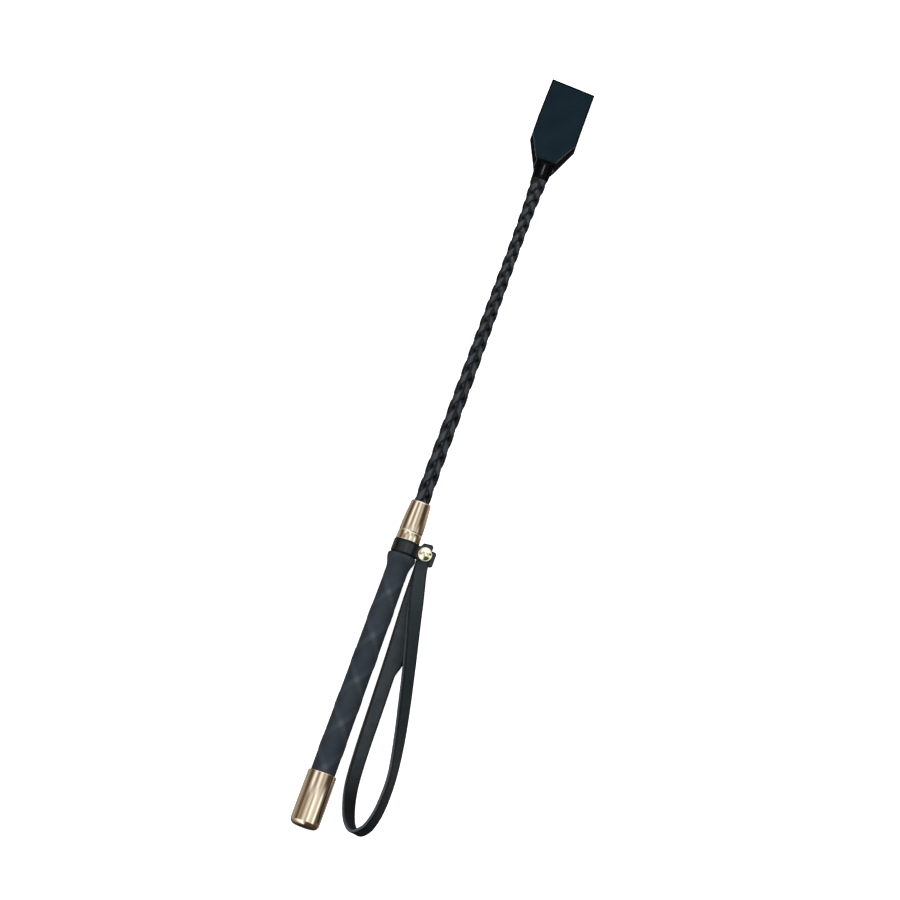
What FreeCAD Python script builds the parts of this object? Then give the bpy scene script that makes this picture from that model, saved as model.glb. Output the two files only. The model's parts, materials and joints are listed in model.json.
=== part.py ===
"""Riding crop with a braided shaft, a gold ferrule and butt cap, a leather flapper and a wrist loop.

All sizes are millimetres. The crop lies along +Y, from the flat end of its butt cap at y = 0 to
the tip of the flapper, with +Z up and the wrist loop on the +X side. The shaft's axis is the Y axis.
"""
import FreeCAD, Part
import math
import os

from FreeCAD import Vector

# ---- Driving dimensions -------------------------------------------------------------------

TOTAL_LENGTH = 500.0
GLUE_LINE = 0.05              # gap between nested pieces that are glued together

ROD_START = 6.0               # fibreglass core rod
ROD_END = 438.0
ROD_BUTT_RADIUS = 3.0
ROD_TIP_RADIUS = 2.0

CAP_LENGTH = 36.0             # butt cap
CAP_RADIUS = 9.5
CAP_RIM_RADIUS = 9.3
CAP_EDGE_ROUND = 3.6
CAP_END_WALL = 1.3
CAP_STRAIGHT_TO = 16.0        # the cap is cylindrical up to here, then narrows to its rim
CAP_RIM_CHAMFER = 0.5
HANDLE_START = 8.0            # where the handle core and the grip begin inside the cap

GRIP_END = 183.45             # top of the swell at the end of the grip
GRIP_BUTT_RADIUS = 8.0
HANDLE_CORE_RADIUS = 5.5
HANDLE_CORE_END = 178.0
GRIP_OUTLINE = [              # (distance, radius) from the butt cap's rim to the swell's crown
    (60.0, 7.9), (100.0, 7.62), (140.0, 7.4), (166.0, 7.14), (171.5, 7.15), (174.6, 7.45),
    (177.2, 8.15), (179.2, 8.85), (180.9, 9.15),
]
GRIP_TOP_EDGE = [(182.4, 8.95), (GRIP_END, 8.35)]

NECK_RADIUS = 6.5             # bush that the leather collar turns on
NECK_SPIGOT_RADIUS = 5.95     # its reduced end, inside the ferrule
NECK_SHOULDER = 192.15

COLLAR_CLEARANCE = 0.2
COLLAR_THICKNESS = 1.6
COLLAR_START = 183.75
COLLAR_END = 191.9
TAB_GAP_HALF = 1.85           # half the gap between the collar's two tabs
TAB_ROOT_X = 8.3              # where the collar's inside turns from the neck into the tabs
TAB_FLARE_X = 10.5
TAB_START = 183.0
TAB_END = 194.4
FRONT_TAB_X = 17.2
BACK_TAB_X = 20.2
TAB_CORNER = 1.1

RIVET_X = 13.3
RIVET_Y = 188.0
RIVET_CAP_RADIUS = 4.4
RIVET_CAP_EDGE = 0.45
RIVET_CAP_HEIGHT = 1.75
RIVET_STEM_RADIUS = 1.5
RIVET_STEM_DEPTH_IN_CAP = 0.7
RIVET_FIT = 0.02

LOOP_WIDTH = 9.8              # wrist loop's strap
LOOP_END_WIDTH = 8.6
LOOP_THICKNESS = 2.6
LOOP_END_THICKNESS = 1.7
LOOP_SKIVE_LENGTH = 26.0      # each end is thinned and narrowed over this length
LOOP_FLAT_LENGTH = 8.0
LOOP_HOLE_RADIUS = 1.62
LOOP_STEPS = 5                # sections in each stretch between two points of the route
# Route of the middle of the strap: x, y, z and the strap's lean about the crop's axis in degrees.
LOOP_ROUTE = [
    (13.3, 188.0, 0.9, 0), (14.15, 179.5, 0.92, 0), (16.2, 167.0, 1.8, 9), (20.4, 148.5, 2.9, 25),
    (27.7, 119.3, 3.6, 39), (33.5, 94.0, 3.6, 43), (38.3, 71.0, 3.3, 51), (41.6, 49.0, 3.0, 61),
    (41.8, 31.0, 2.8, 60), (40.2, 19.2, 2.3, 58), (37.2, 11.7, 0.8, 55), (32.0, 8.2, -2.4, 50),
    (26.7, 12.6, -4.4, 46), (22.6, 22.4, -5.2, 40), (19.6, 36.5, -5.3, 33), (18.2, 58.0, -5.2, 30),
    (17.4, 88.0, -4.4, 20), (16.5, 118.0, -3.4, 10), (15.2, 146.0, -2.3, 4), (14.2, 167.0, -1.5, 1),
    (13.95, 179.5, -0.92, 0), (13.3, 188.0, -0.9, 0),
]

FERRULE_START = 192.2
FERRULE_END = 218.8
FERRULE_LIP_RADIUS = 7.8
FERRULE_LIP_END = 197.6
FERRULE_GROOVE_DEPTH = 0.4
FERRULE_TOP_RADIUS = 6.45
FERRULE_SHOULDER = 1.9
FERRULE_STEP = 208.05         # bore steps from the bush down to the braid here
FERRULE_MOUTH_RADIUS = 5.0

COVER_START = 212.0           # braided cover, from inside the ferrule to the tip's neck
COVER_END = 437.0
COVER_THICKNESS = 0.9
COVER_OUTLINE = [             # (distance, radius)
    (COVER_START, 4.86), (259.0, 4.75), (297.0, 4.6), (335.0, 4.3), (364.0, 4.08), (392.0, 3.8),
    (411.0, 3.98), (421.0, 4.25), (430.0, 4.72), (COVER_END, 5.15),
]
UNDERLAY_END = 431.0

TIP_START = 431.1             # bound end of the flapper's tongue
TIP_END = 441.2
TONGUE_RADIUS = 3.2
WHIPPING_RADIUS = 3.8
NECK_WRAP_RADIUS = 5.3

FLAP_START = 444.2
FLAP_LAYER = 1.45
FLAP_OUTLINE = [              # (x, y), clockwise from the left corner at the throat
    (-6.9, FLAP_START), (-14.3, 458.9), (-14.5, 475.0), (-13.9, TOTAL_LENGTH),
    (14.4, TOTAL_LENGTH - 1.0), (14.6, 475.0), (14.7, 460.7), (7.1, FLAP_START),
]

PARTS = {}


# ---- Helpers ------------------------------------------------------------------------------

def rod_radius(y):
    """Radius of the tapered core rod at distance y."""
    share = (y - ROD_START) / (ROD_END - ROD_START)
    return ROD_BUTT_RADIUS + share * (ROD_TIP_RADIUS - ROD_BUTT_RADIUS)


def rod_bore(y):
    """Radius of a hole that holds the rod."""
    return rod_radius(y) + GLUE_LINE


def at(y, radius):
    """Point of a turned outline."""
    return Vector(radius, y, 0)


def line_edges(points):
    """Straight edges from point to point."""
    return [Part.LineSegment(a, b).toShape() for a, b in zip(points, points[1:])]


def curve_edge(points):
    """One smooth edge through the points."""
    spline = Part.BSplineCurve()
    spline.interpolate(points)
    return spline.toShape()


def arc_edge(start, middle, end):
    return Part.Arc(start, middle, end).toShape()


def revolve(edges):
    """Turn a closed outline about the crop's axis."""
    face = Part.Face(Part.Wire(edges))
    return face.revolve(Vector(0, 0, 0), Vector(0, 1, 0), 360)


def turned(corners):
    """Turned solid with a straight-sided outline of (distance, radius) corners."""
    points = [at(y, radius) for y, radius in corners]
    return revolve(line_edges(points + points[:1]))


def sleeve(start, end, outer, inner_start, inner_end):
    """Plain tube whose bore may taper."""
    return turned([(start, inner_start), (start, outer), (end, outer), (end, inner_end)])


def round_middle(centre, radius, degrees):
    """Point of an arc in the outline's plane."""
    turn = math.radians(degrees)
    return centre + Vector(radius * math.cos(turn), radius * math.sin(turn), 0)


def plate(outline, z_low, z_high):
    """Flat plate with an (x, y) outline."""
    points = [Vector(x, y, z_low) for x, y in outline]
    face = Part.Face(Part.makePolygon(points + points[:1]))
    return face.extrude(Vector(0, 0, z_high - z_low))


def keep(name, shape):
    """Store a finished piece, and make sure that it is one closed solid."""
    solid = shape.Solids[0] if len(shape.Solids) == 1 else shape
    if solid.Volume < 0:
        solid.reverse()
    assert solid.isValid(), name
    PARTS[name] = solid


# ---- Handle -------------------------------------------------------------------------------

def core_rod():
    keep("core_rod", turned([
        (ROD_START, 0), (ROD_START, ROD_BUTT_RADIUS), (ROD_END, ROD_TIP_RADIUS), (ROD_END, 0)]))


def handle_core():
    keep("handle_core", sleeve(
        HANDLE_START, HANDLE_CORE_END - GLUE_LINE, HANDLE_CORE_RADIUS,
        rod_bore(HANDLE_START), rod_bore(HANDLE_CORE_END)))


def grip_sleeve():
    """Soft grip with a swell at its upper end, bored for the handle core and the neck bush."""
    bore = HANDLE_CORE_RADIUS + GLUE_LINE
    counterbore = NECK_RADIUS + GLUE_LINE
    rim = at(CAP_LENGTH, GRIP_BUTT_RADIUS)
    body = curve_edge([rim] + [at(y, radius) for y, radius in GRIP_OUTLINE + GRIP_TOP_EDGE])
    inside = [at(GRIP_END, GRIP_TOP_EDGE[-1][1]), at(GRIP_END, counterbore),
              at(HANDLE_CORE_END, counterbore), at(HANDLE_CORE_END, bore),
              at(HANDLE_START, bore), at(HANDLE_START, GRIP_BUTT_RADIUS), rim]
    keep("grip_sleeve", revolve([body] + line_edges(inside)))


def butt_cap():
    """Thin metal cup over the end of the grip."""
    flat = CAP_RADIUS - CAP_EDGE_ROUND
    centre = at(CAP_EDGE_ROUND, flat)
    bore = GRIP_BUTT_RADIUS + GLUE_LINE
    edges = line_edges([at(CAP_END_WALL, 0), at(0, 0), at(0, flat)])
    edges.append(arc_edge(at(0, flat), round_middle(centre, CAP_EDGE_ROUND, -45),
                          at(CAP_EDGE_ROUND, CAP_RADIUS)))
    edges += line_edges([
        at(CAP_EDGE_ROUND, CAP_RADIUS), at(CAP_STRAIGHT_TO, CAP_RADIUS),
        at(CAP_LENGTH - CAP_RIM_CHAMFER, CAP_RIM_RADIUS),
        at(CAP_LENGTH, CAP_RIM_RADIUS - CAP_RIM_CHAMFER), at(CAP_LENGTH, bore),
        at(HANDLE_START, bore), at(CAP_END_WALL, flat), at(CAP_END_WALL, 0)])
    keep("butt_cap", revolve(edges))


def butt_plug():
    """Plug that closes the handle behind the rod and fills the end of the cap."""
    pocket = rod_bore(ROD_START)
    end = HANDLE_START - GLUE_LINE
    flat = CAP_RADIUS - CAP_EDGE_ROUND - GLUE_LINE
    keep("butt_plug", turned([
        (CAP_END_WALL + GLUE_LINE, 0), (CAP_END_WALL + GLUE_LINE, flat),
        (end, GRIP_BUTT_RADIUS - 3 * GLUE_LINE), (end, pocket), (ROD_START - GLUE_LINE, pocket),
        (ROD_START - GLUE_LINE, 0)]))


def neck_bush():
    """Spool between handle and ferrule. The collar turns on its wide end."""
    keep("neck_bush", turned([
        (HANDLE_CORE_END, rod_bore(HANDLE_CORE_END)), (HANDLE_CORE_END, NECK_RADIUS),
        (NECK_SHOULDER, NECK_RADIUS), (NECK_SHOULDER, NECK_SPIGOT_RADIUS),
        (FERRULE_STEP - GLUE_LINE, NECK_SPIGOT_RADIUS), (FERRULE_STEP - GLUE_LINE, rod_bore(FERRULE_STEP))]))


# ---- Collar, rivet and wrist loop ---------------------------------------------------------

def collar_strap():
    """Leather collar round the neck. Its two ends come together as tabs that hold the loop."""
    inner = NECK_RADIUS + COLLAR_CLEARANCE
    outer = inner + COLLAR_THICKNESS
    tab_outer = TAB_GAP_HALF + COLLAR_THICKNESS
    reach = math.hypot(TAB_ROOT_X, TAB_GAP_HALF)
    turn = math.atan2(TAB_GAP_HALF, TAB_ROOT_X) + math.acos(inner / reach)
    outer_root = (outer - tab_outer * math.sin(turn)) / math.cos(turn)

    def point(x, z):
        return Vector(x, COLLAR_START, z)

    def tangent(radius, side):
        return point(radius * math.cos(turn), side * radius * math.sin(turn))

    edges = line_edges([point(TAB_FLARE_X, tab_outer), point(TAB_FLARE_X, TAB_GAP_HALF),
                        point(TAB_ROOT_X, TAB_GAP_HALF), tangent(inner, 1)])
    edges.append(arc_edge(tangent(inner, 1), point(-inner, 0), tangent(inner, -1)))
    edges += line_edges([tangent(inner, -1), point(TAB_ROOT_X, -TAB_GAP_HALF),
                         point(TAB_FLARE_X, -TAB_GAP_HALF), point(TAB_FLARE_X, -tab_outer),
                         point(outer_root, -tab_outer), tangent(outer, -1)])
    edges.append(arc_edge(tangent(outer, -1), point(-outer, 0), tangent(outer, 1)))
    edges += line_edges([tangent(outer, 1), point(outer_root, tab_outer), point(TAB_FLARE_X, tab_outer)])
    band = Part.Face(Part.Wire(edges)).extrude(Vector(0, COLLAR_END - COLLAR_START, 0))

    def tab(end_x, z_low):
        outline = [(TAB_FLARE_X, TAB_START), (end_x - TAB_CORNER, TAB_START),
                   (end_x, TAB_START + TAB_CORNER), (end_x, TAB_END - TAB_CORNER),
                   (end_x - TAB_CORNER, TAB_END), (TAB_FLARE_X, TAB_END)]
        return plate(outline, z_low, z_low + COLLAR_THICKNESS)

    strap = band.fuse([tab(FRONT_TAB_X, TAB_GAP_HALF), tab(BACK_TAB_X, -tab_outer)]).removeSplitter()
    hole = Part.makeCylinder(RIVET_STEM_RADIUS + RIVET_FIT, 4 * tab_outer,
                             Vector(RIVET_X, RIVET_Y, -2 * tab_outer))
    keep("collar_strap", strap.cut(hole))


def rivet_profile(sign):
    """Domed head as edges in the X-Z plane, standing on the tab of one side."""
    seat = TAB_GAP_HALF + COLLAR_THICKNESS
    shoulder = seat + RIVET_CAP_EDGE
    rise = RIVET_CAP_HEIGHT - RIVET_CAP_EDGE
    dome_radius = (RIVET_CAP_RADIUS ** 2 + rise ** 2) / (2 * rise)
    half_turn = math.asin(RIVET_CAP_RADIUS / dome_radius) / 2
    crown = shoulder + rise

    def point(radius, z):
        return Vector(RIVET_X + radius, RIVET_Y, sign * z)

    dome_middle = point(dome_radius * math.sin(half_turn),
                        crown - dome_radius * (1 - math.cos(half_turn)))
    return line_edges([point(0, crown), point(0, seat), point(RIVET_CAP_RADIUS, seat),
                       point(RIVET_CAP_RADIUS, shoulder)]) + [
        arc_edge(point(RIVET_CAP_RADIUS, shoulder), dome_middle, point(0, crown))]


def rivet_head(sign):
    face = Part.Face(Part.Wire(rivet_profile(sign)))
    return face.revolve(Vector(RIVET_X, RIVET_Y, 0), Vector(0, 0, 1), 360)


def rivet():
    """Two-part rivet: a cap with a socket, and a post with its own domed head."""
    seat = TAB_GAP_HALF + COLLAR_THICKNESS
    foot = Vector(RIVET_X, RIVET_Y, -seat)
    socket = Part.makeCylinder(RIVET_STEM_RADIUS + RIVET_FIT, 2 * seat + RIVET_STEM_DEPTH_IN_CAP, foot)
    keep("rivet_cap", rivet_head(1).cut(socket))
    stem_length = 2 * seat + RIVET_STEM_DEPTH_IN_CAP - GLUE_LINE
    stem = Part.makeCylinder(RIVET_STEM_RADIUS, stem_length + GLUE_LINE, foot - Vector(0, 0, GLUE_LINE))
    keep("rivet_post", rivet_head(-1).fuse(stem).removeSplitter())


def route_point(index, share):
    """Catmull-Rom point of the loop's route, with its lean as a fourth value."""
    last = len(LOOP_ROUTE) - 1
    a, b, c, d = (LOOP_ROUTE[min(max(index + step, 0), last)] for step in (-1, 0, 1, 2))
    if index == 0:
        a = tuple(2 * p - q for p, q in zip(b, c))
    if index + 1 == last:
        d = tuple(2 * p - q for p, q in zip(c, b))
    s = share
    weights = (-s ** 3 + 2 * s ** 2 - s, 3 * s ** 3 - 5 * s ** 2 + 2,
               -3 * s ** 3 + 4 * s ** 2 + s, s ** 3 - s ** 2)
    return tuple(sum(w * p[k] for w, p in zip(weights, (a, b, c, d))) / 2 for k in range(4))


def loop_stations():
    """Centre, lean and travelled length at every section of the strap."""
    samples = []
    for index in range(len(LOOP_ROUTE) - 1):
        samples += [route_point(index, step / LOOP_STEPS) for step in range(LOOP_STEPS)]
    samples.append(LOOP_ROUTE[-1])
    centres = [Vector(*sample[:3]) for sample in samples]
    lengths = [0.0]
    for a, b in zip(centres, centres[1:]):
        lengths.append(lengths[-1] + (b - a).Length)
    return centres, [sample[3] for sample in samples], lengths


def skived(full, end, distance):
    """Size of the strap at a distance from its nearer end."""
    share = min(max((distance - LOOP_FLAT_LENGTH) / LOOP_SKIVE_LENGTH, 0), 1)
    return end + (full - end) * share * share * (3 - 2 * share)


def strap_axes(tangent, lean):
    """Unit vectors across the strap and out of its face."""
    turn = math.radians(lean)
    across = Vector(math.cos(turn), 0, -math.sin(turn))
    across = (across - tangent * across.dot(tangent)).normalize()
    return across, across.cross(tangent)


def rounded_end(centre, tangent, across, normal, sign):
    """Half-round end of the strap, beyond the rivet."""
    radius = LOOP_END_WIDTH / 2
    base = centre - normal * (LOOP_END_THICKNESS / 2)
    left, right = base - across * radius, base + across * radius
    tip = base + tangent * (sign * radius)
    face = Part.Face(Part.Wire([arc_edge(left, tip, right), Part.LineSegment(right, left).toShape()]))
    return face.extrude(normal * LOOP_END_THICKNESS)


def wrist_loop():
    """Flat strap folded back on itself, with both ends on the rivet."""
    centres, leans, lengths = loop_stations()
    wires = []
    ends = []
    for i, centre in enumerate(centres):
        before = centres[max(i - 1, 0)]
        after = centres[min(i + 1, len(centres) - 1)]
        tangent = (after - before).normalize()
        across, normal = strap_axes(tangent, leans[i])
        nearer_end = min(lengths[i], lengths[-1] - lengths[i])
        half_width = skived(LOOP_WIDTH, LOOP_END_WIDTH, nearer_end) / 2
        half_thick = skived(LOOP_THICKNESS, LOOP_END_THICKNESS, nearer_end) / 2
        corners = [centre + across * (u * half_width) + normal * (v * half_thick)
                   for u, v in ((-1, -1), (1, -1), (1, 1), (-1, 1))]
        wires.append(Part.makePolygon(corners + corners[:1]))
        if i in (0, len(centres) - 1):
            ends.append(rounded_end(centre, tangent, across, normal, -1 if i == 0 else 1))
    strap = Part.makeLoft(wires, True, True)
    strap = strap.fuse(ends)
    hole = Part.makeCylinder(LOOP_HOLE_RADIUS, 4 * TAB_GAP_HALF,
                             Vector(RIVET_X, RIVET_Y, -2 * TAB_GAP_HALF))
    keep("wrist_loop", strap.cut(hole))
    print("wrist loop: cut length %.0f mm" % (lengths[-1] + LOOP_END_WIDTH))


# ---- Ferrule and shaft --------------------------------------------------------------------

def ferrule():
    """Tapered metal ferrule with a ring at its wide end and a rounded shoulder at the other."""
    lip = FERRULE_LIP_RADIUS
    groove = lip - FERRULE_GROOVE_DEPTH
    chamfer = 0.35
    shoulder_start = at(FERRULE_END - FERRULE_SHOULDER, FERRULE_TOP_RADIUS)
    body_start = at(FERRULE_LIP_END + 1.1, lip - 0.1)
    edges = line_edges([
        at(FERRULE_START, NECK_SPIGOT_RADIUS + GLUE_LINE), at(FERRULE_START, lip - chamfer),
        at(FERRULE_START + chamfer, lip), at(FERRULE_LIP_END, lip - GLUE_LINE),
        at(FERRULE_LIP_END + 0.35, groove), at(FERRULE_LIP_END + 0.75, groove), body_start])
    edges.append(curve_edge([body_start, at(204.0, 7.5), at(210.0, 7.1), shoulder_start]))
    top = at(FERRULE_END, FERRULE_TOP_RADIUS - 1.3)
    edges.append(arc_edge(shoulder_start, at(FERRULE_END - 0.45, FERRULE_TOP_RADIUS - 0.45), top))
    edges += line_edges([
        top, at(FERRULE_END, FERRULE_MOUTH_RADIUS), at(FERRULE_STEP, FERRULE_MOUTH_RADIUS),
        at(FERRULE_STEP, NECK_SPIGOT_RADIUS + GLUE_LINE),
        at(FERRULE_START, NECK_SPIGOT_RADIUS + GLUE_LINE)])
    keep("ferrule", revolve(edges))


def braid_binding_butt():
    """Thread whipping that holds the braid's ends inside the ferrule."""
    start = FERRULE_STEP + GLUE_LINE
    end = COVER_START - GLUE_LINE
    keep("braid_binding_butt", sleeve(
        start, end, FERRULE_MOUTH_RADIUS - GLUE_LINE, rod_bore(start), rod_bore(end)))


def cover_points(offset, end=COVER_END):
    """Points of the braided cover's outside, moved inwards by an offset."""
    return [at(y, radius - offset) for y, radius in COVER_OUTLINE if y <= end]


def braided_cover():
    """Envelope of the six plaited strands."""
    outside = cover_points(0)
    inside = cover_points(COVER_THICKNESS)
    edges = [curve_edge(outside), curve_edge(inside)]
    edges += line_edges([outside[-1], inside[-1]]) + line_edges([outside[0], inside[0]])
    keep("braided_cover", revolve(Part.sortEdges(edges)[0]))


def shaft_underlay():
    """Padding between the rod and the braid, which gives the shaft its taper."""
    outside = cover_points(COVER_THICKNESS + GLUE_LINE, UNDERLAY_END)
    end = outside[-1].y
    edges = [curve_edge(outside)]
    edges += line_edges([outside[-1], at(end, rod_bore(end)),
                         at(COVER_START, rod_bore(COVER_START)), outside[0]])
    keep("shaft_underlay", revolve(Part.sortEdges(edges)[0]))


# ---- Tip and flapper ----------------------------------------------------------------------

def tongue():
    """Leather tongue round the rod's end, the fixed root of the flapper."""
    hole_end = ROD_END + GLUE_LINE
    keep("flapper_tongue", turned([
        (TIP_START, rod_bore(TIP_START)), (TIP_START, TONGUE_RADIUS), (TIP_END, TONGUE_RADIUS),
        (TIP_END, 0), (hole_end, 0), (hole_end, rod_bore(ROD_END))]))


def tip_whipping():
    """Thread wound tightly round the tongue."""
    bore = TONGUE_RADIUS + GLUE_LINE
    keep("tip_whipping", sleeve(TIP_START, TIP_END, WHIPPING_RADIUS, bore, bore))


def neck_wrap():
    """Smooth glossy wrap that covers the whipping between the braid and the flapper."""
    bore = WHIPPING_RADIUS + GLUE_LINE
    start = COVER_END + GLUE_LINE
    edge = 0.4
    keep("neck_wrap", turned([
        (start, bore), (start, NECK_WRAP_RADIUS - edge / 2), (start + edge, NECK_WRAP_RADIUS),
        (TIP_END - edge, NECK_WRAP_RADIUS), (TIP_END, NECK_WRAP_RADIUS - edge), (TIP_END, bore)]))


def flapper():
    """Two leather layers glued back to back."""
    half_glue = GLUE_LINE / 2
    keep("flapper_front", plate(FLAP_OUTLINE, half_glue, half_glue + FLAP_LAYER))
    keep("flapper_back", plate(FLAP_OUTLINE, -half_glue - FLAP_LAYER, -half_glue))


def main():
    os.makedirs("parts", exist_ok=True)
    for make in (core_rod, handle_core, grip_sleeve, butt_cap, butt_plug, neck_bush, collar_strap,
                 rivet, wrist_loop, ferrule, braid_binding_butt, braided_cover, shaft_underlay,
                 tongue, tip_whipping, neck_wrap, flapper):
        make()
    for name, solid in PARTS.items():
        solid.exportStep("parts/" + name + ".step")
        box = solid.BoundBox
        print("%-20s %9.1f mm3  x %6.1f %6.1f  y %6.1f %6.1f  z %6.1f %6.1f" % (
            name, solid.Volume, box.XMin, box.XMax, box.YMin, box.YMax, box.ZMin, box.ZMax))


main()
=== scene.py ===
import json
import math

import bmesh
import bpy
import numpy as np
from mathutils import Matrix, Vector


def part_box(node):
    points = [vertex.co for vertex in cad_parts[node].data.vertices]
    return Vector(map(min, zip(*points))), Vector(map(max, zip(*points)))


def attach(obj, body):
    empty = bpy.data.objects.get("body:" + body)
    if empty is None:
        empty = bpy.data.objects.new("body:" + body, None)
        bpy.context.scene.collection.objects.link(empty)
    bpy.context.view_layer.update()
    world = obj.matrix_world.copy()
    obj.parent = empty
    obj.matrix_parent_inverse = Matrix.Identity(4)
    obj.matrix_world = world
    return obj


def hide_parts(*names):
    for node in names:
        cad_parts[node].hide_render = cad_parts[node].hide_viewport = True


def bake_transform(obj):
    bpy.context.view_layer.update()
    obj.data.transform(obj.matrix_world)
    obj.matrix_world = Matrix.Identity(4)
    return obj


# Looks of the riding crop. Shapes are worked out in millimetres, and new_mesh() turns them into
# Blender's metres. The crop lies along +Y with its butt at y = 0, its front faces +Z and the wrist
# loop is on the +X side. An angle round the crop is measured from +Z towards +X.

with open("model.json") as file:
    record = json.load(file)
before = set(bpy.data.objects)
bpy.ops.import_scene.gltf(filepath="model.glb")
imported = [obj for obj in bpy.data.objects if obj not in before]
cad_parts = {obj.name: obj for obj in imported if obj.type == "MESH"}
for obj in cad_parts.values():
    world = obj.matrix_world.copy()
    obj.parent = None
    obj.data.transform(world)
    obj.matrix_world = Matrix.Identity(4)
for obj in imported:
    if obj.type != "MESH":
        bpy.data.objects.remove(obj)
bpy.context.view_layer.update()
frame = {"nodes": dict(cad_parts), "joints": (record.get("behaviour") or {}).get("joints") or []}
MM = 0.001
X, Y, Z = 0, 1, 2


def start_of(node, axis=Y):
    """Lowest coordinate of a CAD node, in millimetres."""
    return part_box(node)[0][axis] / MM


def end_of(node, axis=Y):
    """Highest coordinate of a CAD node, in millimetres."""
    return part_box(node)[1][axis] / MM


def joint_point(name):
    """Place of a joint, in millimetres."""
    joint = next(joint for joint in frame["joints"] if joint["name"] == name)
    return Vector(joint["pos_m"]) / MM


# ---- Sizes ----

TOTAL_LENGTH = end_of("flapper_front")
FLOOR_LEVEL = start_of("butt_cap", Z)
FLOOR_GLOW = 0.85

CAP_END = end_of("butt_cap")
CAP_RADIUS = end_of("butt_cap", X)
CAP_RIM_RADIUS = CAP_RADIUS - 0.2
CAP_ROUND = 3.6
CAP_STRAIGHT_TO = 16.0
CAP_WALL = 1.3

GRIP_START = start_of("grip_sleeve")
GRIP_END = end_of("grip_sleeve")
GRIP_LEAD = 59.0  # length of one turn of the criss-cross ribs
GRIP_CROSSING = 98.4  # distance at which two ribs cross on the front
GRIP_RIB_HALF_WIDTH = 2.3
GRIP_RIB_HEIGHT = 0.24
GRIP_RIBS_END = 166.0
GRIP_GIRTH = math.tau * 7.55  # length round the grip's middle
GRIP_RIB_SHARE = 0.09  # half a rib's width as a share of half a turn

NECK_RADIUS = end_of("neck_bush", X)
COLLAR_START = joint_point("collar_swivel").y - 4.05
COLLAR_END = joint_point("collar_swivel").y + 4.1
COLLAR_THICKNESS = 1.6
COLLAR_MIDDLE_RADIUS = NECK_RADIUS + 0.2 + COLLAR_THICKNESS / 2
TAB_START = start_of("collar_strap")
TAB_END = end_of("collar_strap")
TAB_MIDDLE_Z = 1.85 + COLLAR_THICKNESS / 2
TAB_ROOT_X = 8.3
TAB_FLARE_X = 10.5
FRONT_TAB_X = 16.9
BACK_TAB_X = end_of("collar_strap", X)
TAB_CORNER = 1.1
# How far a tab's lower and upper side have risen at its end.
FRONT_TAB_RISE = (0.8, 0.8)
BACK_TAB_RISE = (-1.3, -2.4)

RIVET = joint_point("loop_swing")
RIVET_RADIUS = end_of("rivet_cap", X) - RIVET.x
RIVET_SEAT = start_of("rivet_cap", Z)
RIVET_CROWN = end_of("rivet_cap", Z)
RIVET_STEM_RADIUS = 1.5

LOOP_WIDTH = 9.8
LOOP_END_WIDTH = 8.6
LOOP_THICKNESS = 2.6
LOOP_END_THICKNESS = 1.7
LOOP_SKIVE_LENGTH = 26.0
LOOP_FLAT_LENGTH = 8.0
LOOP_HOLE_RADIUS = 1.62
LOOP_CORNER = 0.55
LOOP_SEAM = 0.1  # depth of the seam along a cut edge
LOOP_JOIN = 2.6  # the lower run is this much wider where it lies under the upper run
LOOP_JOIN_STARTS = (108.0, 118.5)
LOOP_JOIN_ENDS = (128.0, 150.0)
FOLD_SHADE_FADE = (26.0, 56.0)  # distances over which the painted shade of the fold fades from the inner face
LOOP_CREASE = 0.55  # width of the dark line along each edge of the strap's face
# Route of the middle of the strap: x, y, z and the strap's lean about the crop's axis in degrees.
LOOP_ROUTE = [
    (13.3, 188.0, 0.9, 0), (13.75, 179.5, 0.92, 0), (16.2, 167.0, 1.8, 9), (20.4, 148.5, 2.9, 25),
    (27.7, 119.3, 3.6, 39), (33.5, 94.0, 3.6, 43), (38.3, 71.0, 3.3, 51), (41.6, 49.0, 3.0, 61),
    (41.8, 31.0, 2.8, 60), (40.2, 19.2, 2.3, 58), (37.2, 11.7, 0.8, 55), (32.0, 8.2, -2.4, 50),
    (26.7, 12.6, -4.4, 46), (22.6, 22.4, -5.2, 40), (19.6, 36.5, -5.3, 33), (18.2, 58.0, -5.2, 30),
    (17.4, 88.0, -4.4, 20), (16.5, 118.0, -3.4, 10), (15.2, 146.0, -2.3, 4), (14.2, 167.0, -1.5, 1),
    (13.6, 179.5, -0.92, 0), (13.3, 188.0, -0.9, 0),
]

FERRULE_START = start_of("ferrule")
FERRULE_END = end_of("ferrule")
FERRULE_LIP_RADIUS = end_of("ferrule", X)
FERRULE_LIP_END = 197.6
FERRULE_GROOVE = (197.95, 198.35)
FERRULE_GROOVE_RADIUS = 7.4
FERRULE_SOCKET_END = 208.05
FERRULE_TOP_RADIUS = 6.45
FERRULE_TAPER = [(198.75, 7.68), (201.0, 7.62), (204.0, 7.49), (207.0, 7.31), (210.0, 7.1),
                 (213.5, 6.79), (FERRULE_END - 1.9, FERRULE_TOP_RADIUS)]

COVER_END = end_of("braided_cover")
STRANDS_EACH_WAY = 3
STRAND_ARC = math.tau / STRANDS_EACH_WAY
STRAND_SHARE = 0.79  # width of a strand as a share of its room
STRAND_THICKNESS = 0.62
STRAND_WAVE = 0.36  # how far a strand rises and dips from its middle height
STRAND_LIFT = 0.26  # how far the strands' tops stand out beyond the plain sleeve
STRAND_START = 216.0
BRAID_PHASE = 248.6  # distance at which a strand is on top in the front left column
BRAID_TURN = math.radians(-26)
# Length of one cell of the braid at a distance.
BRAID_CELLS = [(STRAND_START, 13.2), (305, 13.2), (325, 10.2), (395, 10.0), (415, 8.5), (COVER_END, 8.3)]

NECK_START = COVER_END + 0.05
NECK_END = end_of("neck_wrap")
NECK_WRAP_RADIUS = end_of("neck_wrap", X)

FLAP_LAYER = 1.45
FLAP_GLUE = 0.025
FLAP_THINNEST = 0.3
FLAP_BULGE_START = 446.5
FLAP_BULGE_END = 452.5
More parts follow.
